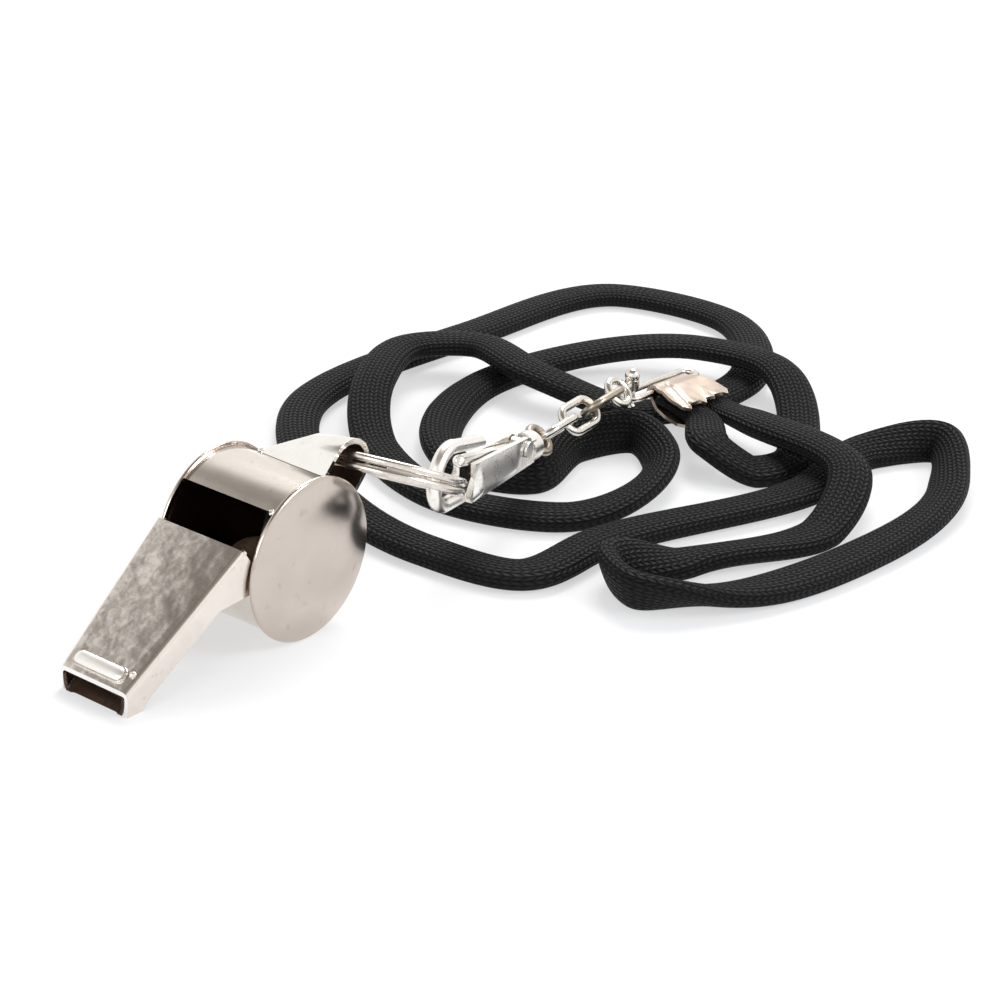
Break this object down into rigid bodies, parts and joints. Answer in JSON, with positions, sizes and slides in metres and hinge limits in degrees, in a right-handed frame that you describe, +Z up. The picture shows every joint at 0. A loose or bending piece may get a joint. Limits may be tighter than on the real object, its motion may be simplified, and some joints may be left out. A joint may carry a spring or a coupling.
{
  "type": "sports whistle",
  "caption": "Metal pea whistle with a split ring, a snap hook and a short chain, clamped to a loop of flat braided black lanyard cord.",
  "frame": {"origin": "under the middle of the whistle's own box, on the table that the whistle rests on", "axes": "+X from the mouthpiece towards the ring and the hook, +Y across the barrel towards its left cheek, +Z up"},
  "size_m": [0.164, 0.0997, 0.0242],
  "materials": {
    "plated_sheet": "polished nickel plate, slightly worn",
    "plated_band": "polished nickel plate",
    "plated_roof": "polished nickel plate with a mottled sheen",
    "plated_lug": "polished nickel plate",
    "cork": "raw cork",
    "ring_wire": "polished nickel plate",
    "hook_metal": "polished nickel plate, cast",
    "spring_steel": "bare spring steel",
    "swivel_metal": "dull plating, worn",
    "link_wire": "plated wire",
    "loop_wire": "bright wire",
    "clamp_sheet": "thin warm-toned plated sheet",
    "braid": "matt braided synthetic cord"
  },
  "bodies": {
    "lanyard": {"lanyard_cord": "braid", "cord_clamp": "clamp_sheet"},
    "wire_loop": {"wire_loop": "loop_wire"},
    "knob": {"swivel_knob": "link_wire"},
    "link_c": {"chain_link_c": "swivel_metal"},
    "link_b": {"chain_link_b": "link_wire"},
    "link_a": {"chain_link_a": "link_wire"},
    "swivel": {"hook_swivel": "swivel_metal"},
    "hook": {"hook_body": "hook_metal", "gate_rivet": "hook_metal", "gate_spring": "spring_steel"},
    "gate": {"hook_gate": "hook_metal"},
    "ring": {"split_ring": "ring_wire"},
    "whistle": {"cheek_left": "plated_sheet", "cheek_right": "plated_sheet", "barrel_band": "plated_band", "mouthpiece_roof": "plated_roof", "windway_insert": "plated_band", "ring_lug": "plated_lug"},
    "pea": {"pea": "cork"}
  },
  "joints": [
    {"name": "loop_turn", "type": "hinge", "parent": "lanyard", "child": "wire_loop", "pos_m": [0.09741, -0.00296, 0.00654], "axis": [0.9976, 0, -0.0698], "range_deg": [0, 12]},
    {"name": "knob_turn", "type": "hinge", "parent": "wire_loop", "child": "knob", "pos_m": [0.08918, -0.00156, 0.00901], "axis": [0, 0, 1], "range_deg": [-12, 12]},
    {"name": "link_c_swing", "type": "hinge", "parent": "knob", "child": "link_c", "pos_m": [0.08377, -0.00203, 0.00901], "axis": [-0.0872, 0.9962, 0], "range_deg": [0, 15]},
    {"name": "link_b_swing", "type": "hinge", "parent": "link_c", "child": "link_b", "pos_m": [0.07715, -0.00261, 0.00901], "axis": [-0.0872, 0.9962, 0], "range_deg": [0, 15]},
    {"name": "link_a_swing", "type": "hinge", "parent": "link_b", "child": "link_a", "pos_m": [0.07052, -0.00319, 0.00901], "axis": [-0.0872, 0.9962, 0], "range_deg": [0, 15]},
    {"name": "swivel_swing", "type": "hinge", "parent": "link_a", "child": "swivel", "pos_m": [0.0639, -0.00377, 0.00901], "axis": [-0.0872, 0.9962, 0], "range_deg": [0, 8]},
    {"name": "hook_spin", "type": "hinge", "parent": "swivel", "child": "hook", "pos_m": [0.06258, -0.00389, 0.00901], "axis": [0.9708, 0.2064, -0.122], "continuous": true},
    {"name": "gate_turn", "type": "hinge", "parent": "hook", "child": "gate", "pos_m": [0.05495, -0.00551, 0.01087], "axis": [0.2079, -0.9781, 0], "range_deg": [0, 9]},
    {"name": "ring_swing", "type": "hinge", "parent": "hook", "child": "ring", "pos_m": [0.03404, -0.00996, 0.0134], "axis": [0.276, 0.9271, -0.2535], "range_deg": [0, 30]},
    {"name": "whistle_swing", "type": "hinge", "parent": "ring", "child": "whistle", "pos_m": [0.01812, -0.0032, 0.02078], "axis": [0.276, 0.9271, -0.2535], "range_deg": [0, 35]},
    {"name": "pea_roll", "type": "hinge", "parent": "whistle", "child": "pea", "pos_m": [0.00867, 0, 0.011], "axis": [0, 1, 0], "continuous": true}
  ]
}
